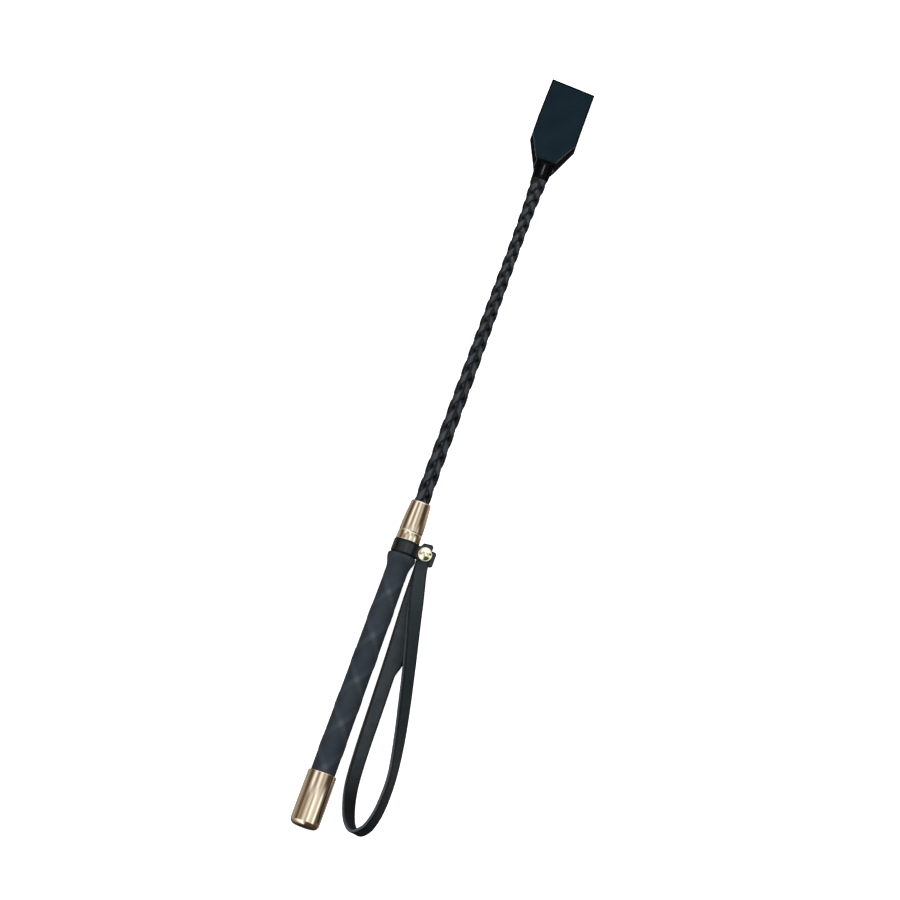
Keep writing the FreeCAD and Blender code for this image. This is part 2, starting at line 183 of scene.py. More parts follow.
# Sides of the back layer and of the front layer, which is cut narrower on the taper.
BACK_LEFT = [(NECK_END, -5.65), (443.4, -6.6), (458.9, -14.3), (475.0, -14.55), (TOTAL_LENGTH, -13.9)]
BACK_RIGHT = [(NECK_END, 5.8), (443.4, 7.05), (460.0, 14.85), (475.0, 14.6), (TOTAL_LENGTH, 14.6)]
FRONT_LEFT = [(NECK_END, -5.6), (444.5, -6.9), (448.5, -6.8), (460.9, -12.95), (462.6, -14.35),
              (475.0, -14.55), (TOTAL_LENGTH, -13.9)]
FRONT_RIGHT = [(NECK_END, 5.75), (444.5, 7.1), (448.5, 5.6), (462.6, 13.2), (464.2, 14.75),
               (475.0, 14.6), (TOTAL_LENGTH, 14.6)]
FLAP_STRAIGHT_START = 470.0
FLAP_END_SLANT = 1.0  # the right corner of the flapper's end is this much lower
FLAP_SIDE_ROUND = 0.3  # width of the rounding along the sides
FLAP_END_ROUND = 0.6
FLAP_ROUND_DEPTH = 0.45
FLAP_PAINT_WIDTH = 0.9
FLAP_END_PAINT = 1.1
FLAP_TAPER_END = 463.0
THROAT_END = 449.2  # distance at which the throat's black, partly painted shade, ends in the middle
THROAT_CURVE = 0.012  # how fast the black runs up towards the sides, per millimetre


# ---- Meshes ----

def new_mesh(name, points, faces, materials, slots, uvs, sharp):
    """Mesh object from points in millimetres."""
    mesh = bpy.data.meshes.new(name)
    mesh.from_pydata([tuple(Vector(p) * MM) for p in points], [], faces)
    for material in materials:
        mesh.materials.append(material)
    mesh.polygons.foreach_set("material_index", slots)
    mesh.uv_layers.new(name="UVMap").data.foreach_set("uv", np.array(uvs, np.float32).ravel())
    merge_and_orient(mesh)
    mesh.shade_smooth()
    mesh.set_sharp_from_angle(angle=math.radians(sharp))
    piece = bpy.data.objects.new(name, mesh)
    bpy.context.scene.collection.objects.link(piece)
    return piece


def merge_and_orient(mesh):
    """Close a mesh's seams and turn its faces outwards."""
    work = bmesh.new()
    work.from_mesh(mesh)
    bmesh.ops.remove_doubles(work, verts=work.verts, dist=0.0005 * MM)
    bmesh.ops.dissolve_degenerate(work, edges=work.edges, dist=0.0002 * MM)
    bmesh.ops.recalc_face_normals(work, faces=work.faces)
    work.to_mesh(mesh)
    work.free()


def grid_piece(name, rows, material, capped=True, slot_at=lambda i, j: 0, extra_materials=(),
               along=None, across=None, sharp=35.0):
    """Skin over rings of points. UVs are the distances across and along the piece in millimetres."""
    rows = np.asarray(rows, float)
    count, width = rows.shape[:2]
    if along is None:
        steps = np.linalg.norm(np.diff(rows.mean(axis=1), axis=0), axis=1)
        along = np.concatenate([[0.0], np.cumsum(steps)])
    if across is None:
        middle = rows[count // 2]
        steps = np.linalg.norm(np.roll(middle, -1, axis=0) - middle, axis=1)
        across = np.concatenate([[0.0], np.cumsum(steps)])
    faces, slots, uvs = [], [], []
    for i in range(count - 1):
        for j in range(width):
            k = (j + 1) % width
            faces.append((i * width + j, i * width + k, (i + 1) * width + k, (i + 1) * width + j))
            slots.append(slot_at(i, j))
            uvs += [(across[j], along[i]), (across[j + 1], along[i]),
                    (across[j + 1], along[i + 1]), (across[j], along[i + 1])]
    for i in (0, count - 1) if capped else ():
        faces.append(tuple(i * width + j for j in range(width)))
        slots.append(slot_at(min(i, count - 2), 0))
        uvs += [(across[j], along[i]) for j in range(width)]
    return new_mesh(name, rows.reshape(-1, 3), faces, (material, *extra_materials), slots, uvs, sharp)


def round_crop(distance, radius, angle):
    """Point at an angle round the crop's own axis."""
    return (radius * math.sin(angle), distance, radius * math.cos(angle))


def round_rivet(distance, radius, angle):
    """Point at an angle round the rivet's axis."""
    return (RIVET.x + radius * math.cos(angle), RIVET.y + radius * math.sin(angle), distance)


def lathe(name, outline, material, segments, place=round_crop):
    """Turned piece with a closed outline of (distance, radius)."""
    angles = [math.tau * step / segments for step in range(segments)]
    rows = [[place(y, r, angle) for angle in angles] for y, r in outline + outline[:1]]
    return grid_piece(name, rows, material, capped=False)


def arc(centre, radius, start, end, steps=10):
    """Points of an arc in an outline; 0 degrees points along +distance, 90 outwards."""
    turns = [math.radians(start + (end - start) * step / steps) for step in range(steps + 1)]
    return [(centre[0] + radius * math.cos(t), centre[1] + radius * math.sin(t)) for t in turns]


def rounded(corners, steps=5):
    """Closed outline from (distance, radius, round) corners, each with its rounding."""
    outline = []
    for i, (y, r, size) in enumerate(corners):
        corner = Vector((y, r))
        if size == 0:
            outline.append((y, r))
            continue
        back = (Vector(corners[i - 1][:2]) - corner).normalized()
        ahead = (Vector(corners[(i + 1) % len(corners)][:2]) - corner).normalized()
        half = back.angle(ahead) / 2
        centre = corner + (back + ahead).normalized() * (size / math.cos(half))
        first = corner + back * size - centre
        last = corner + ahead * size - centre
        for step in range(steps + 1):
            outline.append(tuple(centre + first.slerp(last, step / steps).normalized() * first.length))
    return outline


def outer_radius(node):
    """Function that gives a turned CAD node's outer radius at a distance, in millimetres."""
    mesh = frame["nodes"][node].data
    points = np.array([vertex.co for vertex in mesh.vertices]) / MM
    normals = np.array([vertex.normal for vertex in mesh.vertices])
    radius = np.hypot(points[:, X], points[:, Z])
    outward = points[:, X] * normals[:, X] + points[:, Z] * normals[:, Z] > 0.3 * radius
    distances = np.round(points[outward, Y], 1)
    stations = np.unique(distances)
    radii = [radius[outward][distances == station].max() for station in stations]
    return lambda distance: np.interp(distance, stations, radii)


def smoothstep(value, low, high):
    """Smooth rise from 0 at the low value to 1 at the high one."""
    share = min(max((value - low) / (high - low), 0.0), 1.0)
    return share * share * (3 - 2 * share)


def drill(piece, radius, reach=6.0):
    """Cut a round hole for the rivet through a piece."""
    centre = Vector((RIVET.x, RIVET.y, 0))
    cutter_mesh = bpy.data.meshes.new("cutter")
    work = bmesh.new()
    bmesh.ops.create_cone(work, cap_ends=True, segments=48, radius1=radius * MM, radius2=radius * MM,
                          depth=2 * reach * MM, matrix=Matrix.Translation(centre * MM))
    work.to_mesh(cutter_mesh)
    work.free()
    cutter = bpy.data.objects.new("cutter", cutter_mesh)
    bpy.context.scene.collection.objects.link(cutter)
    hole = piece.modifiers.new("hole", "BOOLEAN")
    hole.operation = "DIFFERENCE"
    hole.solver = "EXACT"
    hole.object = cutter
    graph = bpy.context.evaluated_depsgraph_get()
    cut = bpy.data.meshes.new_from_object(piece.evaluated_get(graph), depsgraph=graph)
    piece.modifiers.clear()
    piece.data = cut
    bpy.data.objects.remove(cutter)


def finish_piece(piece, node, body=None):
    """Hide the CAD node that a piece stands in for, and attach the piece to the body that it rides on, if it
    has one.
    """
    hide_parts(node)
    if body:
        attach(piece, body)


# ---- Materials ----

def srgb(red, green, blue):
    """Linear colour from 0..255 values as they are seen on a screen."""
    def linear(value):
        value /= 255
        return value / 12.92 if value <= 0.04045 else ((value + 0.055) / 1.055) ** 2.4
    return (linear(red), linear(green), linear(blue), 1.0)


def shade(colour, factor):
    return tuple(channel * factor for channel in colour[:3]) + (1.0,)


NOISE_LOW, NOISE_HIGH = 0.3, 0.7  # the range that a noise mostly keeps to
MIX_INPUTS = (0, 6, 7)  # a colour Mix node's sockets for share, first and second colour
MIX_RESULT = 2
RIB_WHOLE_TURNS = 40.0  # keeps the ribs' phase above zero


class Nodes:
    """Node tree of a material or of the world, built up node by node."""

    def __init__(self, tree):
        self.tree = tree

    def add(self, kind, **settings):
        node = self.tree.nodes.new("ShaderNode" + kind)
        for key, value in settings.items():
            setattr(node, key, value)
        return node

    def feed(self, node, **values):
        """Set a node's sockets to numbers, colours or vectors, or link other nodes' outputs to them."""
        for name, value in values.items():
            self.feed_socket(node.inputs[name.replace("_", " ")], value)

    def feed_socket(self, socket, value):
        if isinstance(value, (int, float, tuple)):
            socket.default_value = value
        else:
            self.tree.links.new(value, socket)

    def axes(self, vector):
        """X, Y and Z of a vector."""
        split = self.add("SeparateXYZ")
        self.feed(split, Vector=vector)
        return split.outputs

    def remap(self, value, from_low, from_high, to_low=0.0, to_high=1.0):
        node = self.add("MapRange")
        self.feed(node, Value=value, From_Min=from_low, From_Max=from_high, To_Min=to_low, To_Max=to_high)
        return node.outputs["Result"]

    def calculate(self, operation, first, second=0.0):
        node = self.add("Math", operation=operation)
        self.feed_socket(node.inputs[0], first)
        self.feed_socket(node.inputs[1], second)
        return node.outputs["Value"]

    def ramp(self, value, stops):
        """Colours along a value, as (place, colour) stops."""
        node = self.add("ValToRGB")
        elements = node.color_ramp.elements
        while len(elements) < len(stops):
            elements.new(0.5)
        for element, (place, colour) in zip(elements, stops):
            element.position = place
            element.color = colour
        self.feed(node, Fac=value)
        return node.outputs["Color"]

    def mix(self, share, first, second):
        """Colour between two colours."""
        node = self.add("Mix", data_type="RGBA")
        for socket, value in zip(MIX_INPUTS, (share, first, second)):
            self.feed_socket(node.inputs[socket], value)
        return node.outputs[MIX_RESULT]


class Shader(Nodes):
    """One procedural material. The sizes of its textures are in millimetres."""

    def __init__(self, name, **settings):
        self.material = bpy.data.materials.new(name)
        self.material.use_nodes = True
        super().__init__(self.material.node_tree)
        self.surface = self.tree.nodes["Principled BSDF"]
        self.feed(self.surface, **settings)

    def place(self, source="Object", scale=(1, 1, 1)):
        """Coordinates in millimetres, of the object or UV, scaled."""
        unit = 1 / MM if source == "Object" else 1
        mapping = self.add("Mapping")
        self.feed(mapping, Vector=self.add("TexCoord").outputs[source],
                  Scale=tuple(unit * s for s in scale))
        return mapping.outputs["Vector"]

    def noise(self, size, detail=3.0, **place):
        """Noise from 0 to 1 with features of a size."""
        node = self.add("TexNoise")
        self.feed(node, Vector=self.place(**place), Scale=1 / size, Detail=detail, Roughness=0.55)
        return node.outputs["Fac"]

    def cells(self, size):
        """Distance to the edge of Voronoi cells of a size."""
        node = self.add("TexVoronoi", feature="DISTANCE_TO_EDGE")
        self.feed(node, Vector=self.place(), Scale=1 / size)
        return node.outputs["Distance"]

    def bands(self, pitch):
        """Bands round the crop at a spacing."""
        node = self.add("TexWave", wave_type="BANDS", bands_direction="Y")
        self.feed(node, Vector=self.place(), Scale=math.pi / (10 * pitch))
        return node.outputs["Fac"]

    def two_tone(self, noise, dark, light):
        """Colour that follows a noise from a dark tone to a light one."""
        return self.ramp(noise, [(NOISE_LOW, dark), (NOISE_HIGH, light)])

    def flecks(self, noise, most, base, colour):
        """Base colour with flecks of another where a noise is high."""
        return self.mix(self.remap(noise, 0.35, 0.65, 0.0, most), base, colour)

    def colour(self, output):
        self.feed(self.surface, Base_Color=output)

    def roughness(self, value, at_low, at_high, low=NOISE_LOW, high=NOISE_HIGH):
        """Roughness that follows a noise, or another value with its own low and high."""
        self.feed(self.surface, Roughness=self.remap(value, low, high, at_low, at_high))

    def bump(self, height, distance):
        """Add a bump whose full height is a distance in millimetres."""
        node = self.add("Bump")
        self.feed(node, Height=height, Distance=distance * MM)
        target = self.surface.inputs["Normal"]
        if target.is_linked:
            self.feed(node, Normal=target.links[0].from_socket)
        self.feed(self.surface, Normal=node.outputs["Normal"])


def polished_metal(name, colour, roughness, **place):
    """Plated brass, polished, with faint drawing lines and a few handling marks."""
    look = Shader(name, Metallic=1.0)
    look.colour(look.two_tone(look.noise(6.0, detail=4.0), shade(colour, 0.96), shade(colour, 1.03)))
    scratches = look.noise(1.0, detail=5.0, **place)
    look.roughness(scratches, roughness * 0.85, roughness * 1.25)
    look.bump(scratches, 0.001)
    look.bump(look.noise(9.0, detail=1.0), 0.015)
    return look.material


def soft_rubber():
    """Matte soft-touch rubber, with painted highlight that makes the criss-cross ribs a little paler, most
    where they cross.
    """
    look = Shader("grip_rubber", Specular_IOR_Level=0.16)
    base = look.two_tone(look.noise(14.0), srgb(36, 43, 49), srgb(45, 51, 56))
    fine = look.noise(0.9, detail=4.0)
    base = look.flecks(fine, 0.35, base, srgb(33, 39, 45))
    turns = look.axes(look.place("UV", scale=(2 / GRIP_GIRTH, 2 / GRIP_LEAD, 1)))
    ribs = []
    for hand in ("ADD", "SUBTRACT"):
        phase = look.calculate(hand, turns["X"], turns["Y"])
        offset = look.calculate("PINGPONG", look.calculate("ADD", phase, RIB_WHOLE_TURNS), 0.5)
        ribs.append(look.remap(offset, GRIP_RIB_SHARE - 0.05, GRIP_RIB_SHARE + 0.05, 1.0, 0.0))
    # Painted highlight: the raised ribs are painted paler, and palest where two ribs cross.
    rib_highlight, crossing = look.calculate("MAXIMUM", *ribs), look.calculate("MULTIPLY", *ribs)
    base = look.mix(look.calculate("MULTIPLY", rib_highlight, 0.5), base, srgb(55, 61, 66))
    look.colour(look.mix(look.calculate("MULTIPLY", crossing, 0.5), base, srgb(78, 84, 90)))
    look.roughness(fine, 0.52, 0.68)
    look.bump(look.noise(0.35), 0.02)
    look.bump(look.noise(1.6, detail=2.0), 0.03)
    return look.material


def grained_leather(name, dark, light, roughness, grain, depth, specular=0.4, coat=0.0):
    """Smooth finished leather: fine pebble grain with pores between, and cloudy colour."""
    look = Shader(name, Specular_IOR_Level=specular, Coat_Weight=coat, Coat_Roughness=0.2)
    base = look.two_tone(look.noise(9.0, detail=4.0), dark, light)
    pebbles = look.cells(grain)
    pores = look.remap(pebbles, 0.0, 0.12, 1.0, 0.0)
    look.colour(look.mix(look.calculate("MULTIPLY", pores, 0.35), base, shade(dark, 0.5)))
    look.roughness(look.noise(3.0, detail=4.0), roughness * 0.88, roughness * 1.12)
    look.bump(look.remap(pebbles, 0.0, 0.2), depth)
    look.bump(look.noise(2.6), depth * 1.6)
    return look.material


def strap_inside():
    """Inner face of the wrist loop: paler split leather, with painted shade that darkens it round the fold.
    """
    look = Shader("strap_inside", Specular_IOR_Level=0.3)
    base = look.two_tone(look.noise(7.0, detail=4.0), srgb(40, 47, 50), srgb(54, 60, 62))
    fibres = look.noise(0.6, detail=5.0)
    base = look.flecks(fibres, 0.4, base, srgb(36, 42, 44))
    # Painted shade: the inner face is painted near black at the fold and fades to its own colour further from
    # it.
    beyond_fold_shade = look.remap(look.axes(look.place())["Y"], *FOLD_SHADE_FADE)
    look.colour(look.mix(beyond_fold_shade, srgb(7, 9, 9), base))
    look.roughness(fibres, 0.55, 0.72)
    look.bump(fibres, 0.04)
    look.bump(look.noise(2.4), 0.03)
    return look.material


def strand_leather():
    """Leather strand with fine streaks along it, its own colour on its crowns and painted shade, near black,
    where it dips.
    """
    look = Shader("braid_strand", Specular_IOR_Level=0.2)
    streaks = look.noise(0.5, detail=5.0, source="UV", scale=(1, 0.08, 1))
    base = look.two_tone(look.noise(4.0), srgb(38, 43, 48), srgb(52, 57, 62))
    base = look.flecks(streaks, 0.6, base, srgb(72, 78, 84))
    # Painted shade: from its angle round the crop, the strand is painted near black where it dips under the
    # strands that cross it, the black reaching a little further towards the tip.
    spot = look.axes(look.place())
    angle = look.calculate("ARCTAN2", spot["X"], spot["Z"])
    turn = look.calculate("MULTIPLY", look.calculate("SUBTRACT", angle, BRAID_TURN), STRANDS_EACH_WAY)
    crown = look.calculate("ABSOLUTE", look.calculate("COSINE", turn))
    narrowing = look.remap(spot["Y"], STRAND_START, COVER_END, 0.0, 0.3)
    out_of_dip_shade = look.remap(look.calculate("SUBTRACT", crown, narrowing), 0.15, 0.8)
    look.colour(look.mix(out_of_dip_shade, srgb(3, 5, 7), base))
    look.roughness(streaks, 0.26, 0.44)
    look.bump(streaks, 0.03)
    look.bump(look.noise(0.7), 0.012)
    return look.material


def glossy_wrap():
    """Smooth glossy wrap at the neck."""
    look = Shader("glossy_wrap", Specular_IOR_Level=0.05)
    cloud = look.noise(2.0)
    look.colour(look.two_tone(cloud, srgb(2, 3, 4), srgb(5, 6, 8)))
    look.roughness(cloud, 0.14, 0.22)
    look.bump(look.noise(1.5), 0.004)
    return look.material


def flapper_leather():
    """Matte leather with a blue-green cast; at the throat it is glossier and black, partly painted shade of
    the bulge's sides.
    """
    look = Shader("flapper_leather", Specular_IOR_Level=0.08)
    base = look.two_tone(look.noise(11.0, detail=4.0), srgb(9, 22, 29), srgb(14, 28, 35))
    base = look.flecks(look.noise(0.8, detail=5.0), 0.4, base, srgb(8, 19, 26))
    # Painted shade: the throat is painted near black, partly the black of the glossy wrap and partly the
    # shade beside the neck's bulge.
    spot = look.axes(look.place())
    square = look.calculate("POWER", look.calculate("ABSOLUTE", spot["X"]), 2.0)
    height = look.calculate("SUBTRACT", spot["Y"], look.calculate("MULTIPLY", square, THROAT_CURVE))
    height = look.calculate("ADD", height, look.noise(1.6))
    matte_and_unshaded = look.remap(height, THROAT_END + 0.6, THROAT_END + 1.8)
    look.colour(look.mix(matte_and_unshaded, srgb(7, 9, 11), base))
    look.roughness(matte_and_unshaded, 0.5, 0.78, low=0.0, high=1.0)
    look.bump(look.noise(0.45, detail=4.0), 0.02)
    look.bump(look.noise(2.2), 0.03)
    return look.material


def thread(name, colour, pitch):
    """Wound thread, its turns side by side."""
    look = Shader(name, Specular_IOR_Level=0.3)
    turns = look.bands(pitch)
    look.colour(look.ramp(turns, [(0.0, shade(colour, 0.4)), (0.6, colour)]))
    look.roughness(look.noise(0.3), 0.6, 0.8)
    look.bump(turns, 0.12)
    return look.material


def plain_finish(name, specular, dark, light, roughness, depth, size, **noise):
    """Finish whose colour, gloss and relief all follow one noise."""
    look = Shader(name, Specular_IOR_Level=specular)
    grain = look.noise(size, **noise)
    look.colour(look.two_tone(grain, dark, light))
    look.roughness(grain, *roughness)
    look.bump(grain, depth)
    return look.material


def edge_paint_and_light(name, colour, roughness, specular=0.4):
    """Band of colour along an edge of leather, with faint waves along it: burnished and painted cut edges,
    and painted highlight and painted shade along edges.
    """
    return plain_finish(name, specular, shade(colour, 0.7), shade(colour, 1.25),
                        (roughness * 0.8, roughness * 1.2), 0.03, 1.4, detail=4.0)


GOLD = polished_metal("gold_metal", (0.9, 0.75, 0.56, 1), 0.08, scale=(1, 0.03, 1))
RIVET_GOLD = polished_metal("rivet_gold", (1.0, 0.94, 0.64, 1), 0.12)
RUBBER = soft_rubber()
COLLAR_LEATHER = grained_leather("collar_leather", srgb(3, 9, 10), srgb(8, 14, 15), 0.2, 0.5,
                                 0.012, specular=0.5, coat=0.3)
STRAP_LEATHER = grained_leather("strap_leather", srgb(15, 27, 30), srgb(24, 35, 37), 0.42, 0.45, 0.02)
STRAP_INSIDE = strap_inside()
STRAP_CREASE = edge_paint_and_light("strap_crease", srgb(8, 9, 10), 0.4, specular=0.3)
# Painted highlight: the cut edge is a paler raw edge, lightened further to stand for the light line it
# catches.
STRAP_EDGE_HIGHLIGHT = edge_paint_and_light("strap_edge_highlight", srgb(62, 68, 72), 0.35)
STRAND_LEATHER = strand_leather()
# Painted shade: the strands' edges are near black to stand for the shade in the gaps between strands.
STRAND_EDGE_SHADE = edge_paint_and_light("braid_strand_edge_shade", srgb(6, 7, 8), 0.4, specular=0.25)
WRAP = glossy_wrap()
FLAPPER_LEATHER = flapper_leather()
FLAPPER_EDGE = edge_paint_and_light("flapper_edge", srgb(2, 3, 4), 0.5, specular=0.03)
# Painted highlight: the front layer's bevel on the taper is pale grey to stand for the light that its cut
# edge catches.
FLAPPER_HIGHLIGHT_LINE = edge_paint_and_light("flapper_bevel_highlight", srgb(52, 52, 58), 0.4, specular=0.25)
THREAD = thread("black_thread", srgb(38, 38, 40), 0.4)
PADDING = thread("cotton_padding", srgb(12, 13, 14), 0.9)
WOOD = plain_finish("turned_wood", 0.3, srgb(143, 104, 66), srgb(190, 152, 106), (0.55, 0.75), 0.03,
                    1.2, detail=6.0, scale=(1, 0.06, 1))
FIBREGLASS = plain_finish("drawn_fibreglass", 0.45, srgb(186, 186, 160), srgb(212, 212, 190),
                          (0.35, 0.5), 0.01, 0.25, detail=4.0, scale=(1, 0.02, 1))
PLASTIC = plain_finish("moulded_plastic", 0.45, srgb(20, 20, 22), srgb(30, 30, 33), (0.4, 0.5), 0.015, 0.3)


# ---- Handle ----

def butt_cap():
    """Thin polished cup with a rounded end and a softened rim."""
    flat = CAP_RADIUS - CAP_ROUND
    bore = CAP_RIM_RADIUS - 1.25
    outline = [(0.0, 0.0)] + arc((CAP_ROUND, flat), CAP_ROUND, 180, 90, steps=24)
    rim = rounded([(CAP_STRAIGHT_TO, CAP_RADIUS, 0), (CAP_END, CAP_RIM_RADIUS, 0.45),
                   (CAP_END, bore, 0.2), (GRIP_START, bore, 0), (CAP_WALL, flat, 0),
                   (CAP_WALL, 0.0, 0)])
    piece = lathe("butt_cap_shell", outline + rim, GOLD, segments=160)
    finish_piece(piece, "butt_cap", "stick")


def rib_height(distance, angle, radius):
    """Height of the criss-cross ribs on the grip."""
    turn = math.tau * (distance - GRIP_CROSSING) / GRIP_LEAD
    slope = math.atan(math.tau * radius / GRIP_LEAD)
    height = 0.0
    for start in (-turn, -turn + math.pi, turn, turn + math.pi):
        offset = (angle - start + math.pi) % math.tau - math.pi
        side = abs(offset) * radius * math.cos(slope)
        height = max(height, smoothstep(-side, -GRIP_RIB_HALF_WIDTH - 0.9, -GRIP_RIB_HALF_WIDTH + 0.9))
    fade = 1 - smoothstep(distance, GRIP_RIBS_END, GRIP_RIBS_END + 7)
    return height * fade * GRIP_RIB_HEIGHT


def grip():
    """Soft sleeve with criss-cross ribs and a swell at its upper end."""
    radius_at = outer_radius("grip_sleeve")
    bore = NECK_RADIUS + 0.05
    segments = 144
    angles = [math.tau * step / segments for step in range(segments)]
    edge_round = 1.25
    distances = np.concatenate([np.arange(CAP_END - 2, GRIP_RIBS_END, 0.6),
                                np.arange(GRIP_RIBS_END, GRIP_END - edge_round - 0.15, 0.3)])
    rows = []
    for distance in distances:
        radius = float(radius_at(distance))
        ribbed = distance >= CAP_END
        rows.append([round_crop(distance, radius + ribbed * rib_height(distance, angle, radius), angle)
                     for angle in angles])
    edge = float(radius_at(distances[-1]))
    top = arc((distances[-1], edge - edge_round), edge_round, 80, 0, steps=10)
    for y, r in top + [(top[-1][0], bore)]:
        rows.append([round_crop(y, r, angle) for angle in angles])
    rows.append([round_crop(GRIP_END - 5, bore, angle) for angle in angles])
    along = [row[0][Y] - GRIP_CROSSING for row in rows]
    across = [GRIP_GIRTH * step / segments for step in range(segments + 1)]
    piece = grid_piece("grip", rows, RUBBER, capped=False, along=along, across=across)
    finish_piece(piece, "grip_sleeve", "stick")


# ---- Straps ----

FACE, CREASE, CUT_EDGE, INNER_FACE = range(4)


def strap_section(half_width, half_thick, corner, seam=0.0, wider=0.0, face_steps=10, corner_steps=4):
    """Section of a strap as (across, out) points, and the finish of each stretch between them."""
    corner = min(corner, 0.7 * half_thick, 0.7 * half_width)
    crease = min(LOOP_CREASE, 0.3 * half_width)
    flat = half_width - corner
    waist = 0.12 * half_thick

    def quarter(side, middle, first):
        """One rounded corner, starting at an angle in degrees."""
        turns = [math.radians(first - 90 * step / corner_steps) for step in range(corner_steps)]
        return [(side * (flat + corner * math.cos(turn)), side * (middle + corner * math.sin(turn)))
                for turn in turns]

    points, finish = [], []
    places = [-flat] + list(np.linspace(-flat + crease, flat - crease, face_steps - 1))
    for side, face in ((1, INNER_FACE), (-1, FACE)):
        points += [(side * place, side * half_thick) for place in places]
        finish += [CREASE] + [face] * (face_steps - 2) + [CREASE]
        points += quarter(side, half_thick - corner, 90)
        points += [(side * half_width, side * (half_thick - corner)), (side * half_width, side * waist),
                   (side * (half_width - seam), 0.0), (side * half_width, -side * waist)]
        points += quarter(side, corner - half_thick, 0)
        finish += [CREASE] * corner_steps + [CUT_EDGE] * 4 + [CREASE] * corner_steps
    points = [(u + wider * (0.5 + u / (2 * half_width)), v) for u, v in points]
    return points, finish


def strap_row(centre, across, out, section):
    return [centre + across * u + out * v for u, v in section]


def route_point(index, share):
    """Catmull-Rom point of the loop's route, with its lean as a fourth value."""
    last = len(LOOP_ROUTE) - 1
    a, b, c, d = (LOOP_ROUTE[min(max(index + step, 0), last)] for step in (-1, 0, 1, 2))
    if index == 0:
        a = tuple(2 * p - q for p, q in zip(b, c))
    if index + 1 == last:
        d = tuple(2 * p - q for p, q in zip(c, b))
    s = share
    weights = (-s ** 3 + 2 * s ** 2 - s, 3 * s ** 3 - 5 * s ** 2 + 2,
               -3 * s ** 3 + 4 * s ** 2 + s, s ** 3 - s ** 2)
    return tuple(sum(w * p[k] for w, p in zip(weights, (a, b, c, d))) / 2 for k in range(4))


def loop_stations(spacing=1.3):
    """Centre, lean and length at every section of the strap."""
    samples = []
    for index, (start, end) in enumerate(zip(LOOP_ROUTE, LOOP_ROUTE[1:])):
        steps = max(3, round((Vector(end[:3]) - Vector(start[:3])).length / spacing))
        samples += [route_point(index, step / steps) for step in range(steps)]
    samples.append(LOOP_ROUTE[-1])
    centres = [Vector(sample[:3]) for sample in samples]
    lengths = [0.0]
    for a, b in zip(centres, centres[1:]):
        lengths.append(lengths[-1] + (b - a).length)
    return centres, [sample[3] for sample in samples], lengths


def skived(full, end, distance):
    """Size of the strap at a distance from its nearer end."""
    share = smoothstep(distance - LOOP_FLAT_LENGTH, 0, LOOP_SKIVE_LENGTH)
    return end + (full - end) * share


def join_width(distance):
    """How much wider the lower run is where it is joined to the upper run."""
    return LOOP_JOIN * (smoothstep(distance, *LOOP_JOIN_STARTS) - smoothstep(distance, *LOOP_JOIN_ENDS))


def wrist_loop():
    """Strap folded back on itself, with round ends and a fine seam along its cut edges."""
    centres, leans, lengths = loop_stations()
    last = len(centres) - 1
    half_end = LOOP_END_WIDTH / 2
    end_turns = [math.radians(turn) for turn in (82, 72, 60, 46, 30, 15)]
    rows = []
    for i, centre in enumerate(centres):
        tangent = (centres[min(i + 1, last)] - centres[max(i - 1, 0)]).normalized()
        turn = math.radians(leans[i])
        across = Vector((math.cos(turn), 0, -math.sin(turn)))
        across = (across - tangent * across.dot(tangent)).normalized()
        out = across.cross(tangent)
        nearer_end = min(lengths[i], lengths[-1] - lengths[i])
        half_width = skived(LOOP_WIDTH, LOOP_END_WIDTH, nearer_end) / 2
        half_thick = skived(LOOP_THICKNESS, LOOP_END_THICKNESS, nearer_end) / 2
        wider = join_width(centre.y) if i > last / 2 else 0.0
        section, finish = strap_section(half_width, half_thick, LOOP_CORNER, LOOP_SEAM, wider)
        rows.append(strap_row(centre, across, out, section))
        if i in (0, last):
            beyond = tangent * (-1 if i == 0 else 1) * half_end
            tip = [strap_row(centre + beyond * math.sin(turn), across, out,
                             strap_section(half_end * math.cos(turn), half_thick, LOOP_CORNER)[0])
                   for turn in end_turns]
            rows = tip + rows if i == 0 else rows + tip[::-1]
    piece = grid_piece("wrist_loop_strap", rows, STRAP_LEATHER, slot_at=lambda i, j: finish[j],
                       extra_materials=[STRAP_CREASE, STRAP_EDGE_HIGHLIGHT, STRAP_INSIDE], sharp=50)
    drill(piece, LOOP_HOLE_RADIUS)
    finish_piece(piece, "wrist_loop", "loop")


def collar_path():
    """Middle line of the collar from the front tab's end, round the neck, to the back tab's end."""
    radius, bend_start = COLLAR_MIDDLE_RADIUS, TAB_ROOT_X + 0.9
    turn = math.atan2(TAB_MIDDLE_Z, TAB_ROOT_X) + math.acos(radius / math.hypot(TAB_ROOT_X, TAB_MIDDLE_Z))
    front = [*np.linspace(FRONT_TAB_X, TAB_FLARE_X, 10), *np.linspace(TAB_FLARE_X, bend_start, 4)[1:]]
    back = [*np.linspace(bend_start, TAB_FLARE_X, 4), *np.linspace(TAB_FLARE_X, BACK_TAB_X, 14)[1:]]
    start, middle = Vector((bend_start, TAB_MIDDLE_Z)), Vector((TAB_ROOT_X, TAB_MIDDLE_Z))
    end = middle.lerp(Vector((radius * math.cos(turn), radius * math.sin(turn))), 0.7)
    bend = [start * (1 - s) ** 2 + middle * 2 * s * (1 - s) + end * s * s for s in (0.25, 0.5, 0.75, 1.0)]
    round_neck = [Vector((radius * math.cos(t), radius * math.sin(t)))
                  for t in np.linspace(turn, math.tau - turn, 64)]
    return ([Vector((x, TAB_MIDDLE_Z)) for x in front] + bend + round_neck
            + [Vector((p.x, -p.y)) for p in reversed(bend)] + [Vector((x, -TAB_MIDDLE_Z)) for x in back])


